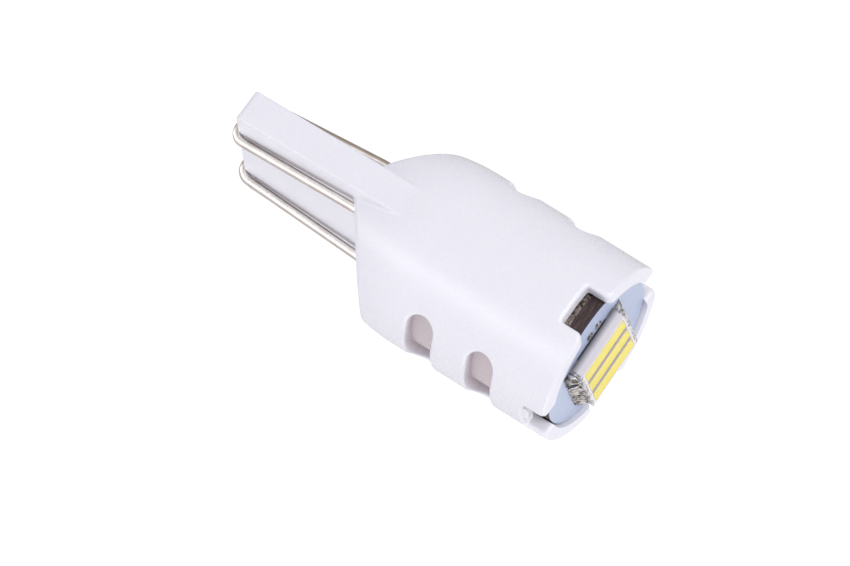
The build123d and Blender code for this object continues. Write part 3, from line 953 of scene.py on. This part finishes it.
@dataclass
class PhotoCamera:
    """Camera at the photograph's angle: the bulb's axis falls to the lower right.

    The rim's centre is the point that the camera is set up around; right_mm and down_mm are
    its place in the picture from the middle.
    """

    axis_drop_deg: float = 31.78
    tilt_deg: float = 15.75
    turn_deg: float = -17.96
    distance_mm: float = 800.0
    right_mm: float = 8.79
    down_mm: float = 3.60
    pixels_per_mm: float = 20.066
    rim_height_mm: float = 13.9
    picture_width: int = 850
    sensor_mm: float = 36.0
    clip: Pair = (0.01, 20.0)

    def axes(self) -> tuple[Vector, Vector, Vector]:
        """Works out the picture's directions.

        Returns:
            Right, down and forward in the bulb's frame.
        """
        angles = (self.axis_drop_deg, self.tilt_deg, self.turn_deg)
        drop, tilt, turn = (math.radians(angle) for angle in angles)
        along = Vector((math.cos(tilt) * math.cos(drop), math.cos(tilt) * math.sin(drop),
                        -math.sin(tilt)))
        across = Vector((-math.sin(drop), math.cos(drop), 0))
        toward = across.cross(along)
        bulb_x = math.cos(turn) * toward + math.sin(turn) * across
        bulb_y = -math.sin(turn) * toward + math.cos(turn) * across
        rows = Matrix((bulb_x, bulb_y, along))
        return rows.col[0].copy(), rows.col[1].copy(), rows.col[2].copy()

    def toward_and_upper(self) -> tuple[Vector, Vector]:
        """Works out the level directions that the studio is set up by.

        Returns:
            The way towards the camera and the way to the picture's upper right.
        """
        right, down, forward = self.axes()
        drop = math.radians(self.axis_drop_deg)
        toward = Vector((-forward.x, -forward.y, 0)).normalized()
        return toward, right * math.sin(drop) - down * math.cos(drop)

    def build(self) -> None:
        """Makes the camera and hands it to the scene."""
        right, down, forward = self.axes()
        rim = Vector((0, 0, self.rim_height_mm))
        place = rim - right * self.right_mm - down * self.down_mm - forward * self.distance_mm
        data = bpy.data.cameras.new("camera")
        data.sensor_width = self.sensor_mm
        data.lens = self.pixels_per_mm * self.distance_mm / self.picture_width * self.sensor_mm
        data.clip_start, data.clip_end = self.clip
        camera = bpy.data.objects.new("camera", data)
        turn = Matrix((right, -down, -forward)).transposed().to_4x4()
        camera.matrix_world = Matrix.Translation(place * MM) @ turn
        bpy.context.scene.collection.objects.link(camera)
        bpy.context.scene.camera = camera
        LOG.info("camera: %.0f mm away", self.distance_mm)


@dataclass(frozen=True)
class SoftLamp:
    """A square soft lamp, placed from the point that it aims at.

    Its place is given towards the camera, to the picture's upper right and up.
    """

    name: str
    toward: float
    upper: float
    high: float
    watts: float
    size: float = 0.16

    def build(self, aim: Vector, ways: tuple[Vector, Vector]) -> None:
        """Makes the lamp.

        Args:
            aim: point that the lamp shines at.
            ways: level directions towards the camera and to the picture's upper right.
        """
        toward, upper = ways
        place = aim + (toward * self.toward + upper * self.upper + Vector((0, 0, self.high)))
        data = bpy.data.lights.new(self.name, "AREA")
        data.size = self.size
        data.energy = self.watts
        lamp = bpy.data.objects.new(self.name, data)
        lamp.location = place
        lamp.rotation_euler = (aim - place).to_track_quat("-Z", "Y").to_euler()
        bpy.context.scene.collection.objects.link(lamp)
        LOG.info("%s: lamp of %.1f W", self.name, self.watts)


@dataclass
class Studio:
    """White floor, soft lamps and an even surround.

    Stops are pairs of position and colour, given round the bulb for the floor and from behind
    it towards the camera for the room. Their brown bands are the dark sides of a room, which
    bright metal shows beside its highlights.
    """

    floor_gap: float = 12 * MM
    floor_size: float = 1.2
    paper: str = "#F2F2F2"
    paper_glow: float = 1.1
    glow_share: float = 0.88
    floor_stops: tuple = ((0.0, "#C4BCBC"), (0.2, "#ACA5A6"), (0.33, "#DAD5D5"),
                          (0.41, "#FFFFFF"), (0.52, "#FFFFFF"), (0.6, "#B8ACA5"),
                          (0.7, "#7F7269"), (0.9, "#928781"), (1.0, "#C4BCBC"))
    mirror_level: float = 1.18
    spot: float = 4.5
    spot_angle_deg: float = -28.0
    spot_spread_deg: float = 12.0
    sky: str = "#F6F6FB"
    horizon_level: float = 0.34
    zenith_level: float = 0.95
    room_stops: tuple = ((0.0, "#FFFFFF"), (0.22, "#FFFFFF"), (0.34, "#8A7A70"),
                         (0.44, "#3E322C"), (0.6, "#5A4C44"), (0.72, "#FFFFFF"),
                         (1.0, "#FFFFFF"))
    aim: float = 5 * MM
    lamps: tuple = (SoftLamp("key", 0.20, 0.12, 0.22, 0.4), SoftLamp("side", 0.0, -0.30, 0.04, 0.3))

    def mirrored_sides(self, tree: Tree, ways: tuple[Vector, Vector]) -> Socket:
        """Makes what bright metal sees in the floor: bands round the bulb and one bright spot.

        The wires stand upright over the floor and mirror it, so what they show is set by the
        direction from the bulb.

        Args:
            tree: node tree of the floor's material.
            ways: level directions towards the camera and to the picture's upper right.

        Returns:
            The light of the floor.
        """
        place = add_node(tree, "ShaderNodeTexCoord").outputs["Object"]
        near, aside = (add_node(tree, "ShaderNodeVectorMath", {"operation": "DOT_PRODUCT", 1: way},
                                {0: place}).outputs["Value"] for way in ways)
        angle = add_node(tree, "ShaderNodeMath", {"operation": "ARCTAN2"},
                         {0: aside, 1: near}).outputs[0]
        turn = add_node(tree, "ShaderNodeMapRange", {"From Min": -math.pi, "From Max": math.pi},
                        {"Value": angle})
        bands = add_node(tree, "ShaderNodeValToRGB", None, {"Fac": turn.outputs["Result"]})
        set_stops(bands, self.floor_stops)
        off = add_node(tree, "ShaderNodeMath",
                       {"operation": "SUBTRACT", 1: math.radians(self.spot_angle_deg)}, {0: angle})
        spread = add_node(tree, "ShaderNodeMath", {"operation": "ABSOLUTE"}, {0: off.outputs[0]})
        glare = add_node(tree, "ShaderNodeMapRange",
                         {"From Min": 0, "From Max": math.radians(self.spot_spread_deg),
                          "To Min": self.mirror_level + self.spot, "To Max": self.mirror_level},
                         {"Value": spread.outputs[0]})
        light = add_node(tree, "ShaderNodeEmission", None,
                         {"Strength": glare.outputs["Result"], "Color": bands.outputs["Color"]})
        return light.outputs[0]

    def floor(self, ways: tuple[Vector, Vector]) -> None:
        """Lays a pale floor below the bulb, white to the camera but with its shadow.

        Args:
            ways: level directions towards the camera and to the picture's upper right.
        """
        bpy.ops.object.select_all(action="DESELECT")
        bpy.ops.mesh.primitive_plane_add(size=self.floor_size,
                                         location=(0, 0, CAD_BOX[0][2] - self.floor_gap))
        sheet = bpy.context.object
        sheet.name = "floor"
        material = bpy.data.materials.new("floor_paper_white")
        material.use_nodes = True
        tree = material.node_tree
        tree.nodes.clear()
        out = add_node(tree, "ShaderNodeOutputMaterial")
        paper = add_node(tree, "ShaderNodeBsdfDiffuse", {"Color": linear(self.paper)})
        glow = add_node(tree, "ShaderNodeEmission",
                        {"Color": linear("#FFFFFF"), "Strength": self.paper_glow})
        path = add_node(tree, "ShaderNodeLightPath")
        looks = add_node(tree, "ShaderNodeMixShader", None,
                         {0: path.outputs["Is Glossy Ray"], 1: glow.outputs[0],
                          2: self.mirrored_sides(tree, ways)})
        seen = add_node(tree, "ShaderNodeMath", {"operation": "MAXIMUM"},
                        {0: path.outputs["Is Camera Ray"], 1: path.outputs["Is Glossy Ray"]})
        share = add_node(tree, "ShaderNodeMath", {"operation": "MULTIPLY", 1: self.glow_share},
                         {0: seen.outputs[0]})
        mix = add_node(tree, "ShaderNodeMixShader", None,
                       {0: share.outputs[0], 1: paper.outputs[0], 2: looks.outputs[0]})
        tree.links.new(mix.outputs[0], out.inputs["Surface"])
        sheet.data.materials.append(material)

    def surround(self, toward: Vector) -> None:
        """Sets a white surround for the camera, and for bright metal one with dark sides.

        Args:
            toward: direction from the bulb to the place that the photo was taken from.
        """
        world = bpy.data.worlds.new("surround")
        bpy.context.scene.world = world
        world.use_nodes = True
        tree = world.node_tree
        tree.nodes.clear()
        out = add_node(tree, "ShaderNodeOutputWorld")
        path = add_node(tree, "ShaderNodeLightPath")
        way = add_node(tree, "ShaderNodeTexCoord").outputs["Generated"]
        facing = add_node(tree, "ShaderNodeVectorMath", {"operation": "DOT_PRODUCT", 1: toward},
                          {0: way})
        place = add_node(tree, "ShaderNodeMapRange", {"From Min": -1, "From Max": 1},
                         {"Value": facing.outputs["Value"]})
        room = add_node(tree, "ShaderNodeValToRGB", None, {"Fac": place.outputs["Result"]})
        set_stops(room, self.room_stops)
        height = add_node(tree, "ShaderNodeSeparateXYZ", None, {"Vector": way})
        level = add_node(tree, "ShaderNodeMapRange",
                         {"To Min": self.horizon_level, "To Max": self.zenith_level},
                         {"Value": height.outputs["Z"]})
        fill = add_node(tree, "ShaderNodeBackground", {"Color": linear(self.sky)},
                        {"Strength": level.outputs["Result"]})
        mirrored = add_node(tree, "ShaderNodeBackground", {"Strength": 1.0},
                            {"Color": room.outputs["Color"]})
        seen = add_node(tree, "ShaderNodeBackground",
                        {"Color": linear("#FFFFFF"), "Strength": 1.0})
        glossy = add_node(tree, "ShaderNodeMixShader", None,
                          {0: path.outputs["Is Glossy Ray"], 1: fill.outputs[0],
                           2: mirrored.outputs[0]})
        mix = add_node(tree, "ShaderNodeMixShader", None,
                       {0: path.outputs["Is Camera Ray"], 1: glossy.outputs[0],
                        2: seen.outputs[0]})
        tree.links.new(mix.outputs[0], out.inputs["Surface"])

    def build(self, camera: PhotoCamera) -> None:
        """Sets up the floor, the surround and the lamps.

        Args:
            camera: the camera that they are set up by.
        """
        ways = camera.toward_and_upper()
        self.floor(ways)
        self.surround(-camera.axes()[2])
        for lamp in self.lamps:
            lamp.build(Vector((0, 0, self.aim)), ways)
        LOG.info("studio: floor, surround and %d lamps", len(self.lamps))


def dress_nodes() -> None:
    """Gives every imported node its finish."""
    for node, finish in NODE_FINISH.items():
        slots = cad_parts[node].data.materials
        slots.clear()
        slots.append(finish.material())
        LOG.info("%s: %s", node, finish.name)


def main() -> None:
    """Builds the camera, the studio, the finishes and the fine pieces, in that order."""
    bpy.context.scene.view_settings.view_transform = "Standard"
    camera = PhotoCamera()
    camera.build()
    Studio().build(camera)
    dress_nodes()
    LedRow().build()
    SeatAdhesive().build()


if __name__ == "__main__":
    logging.basicConfig(level=logging.INFO, format="%(message)s")
    main()
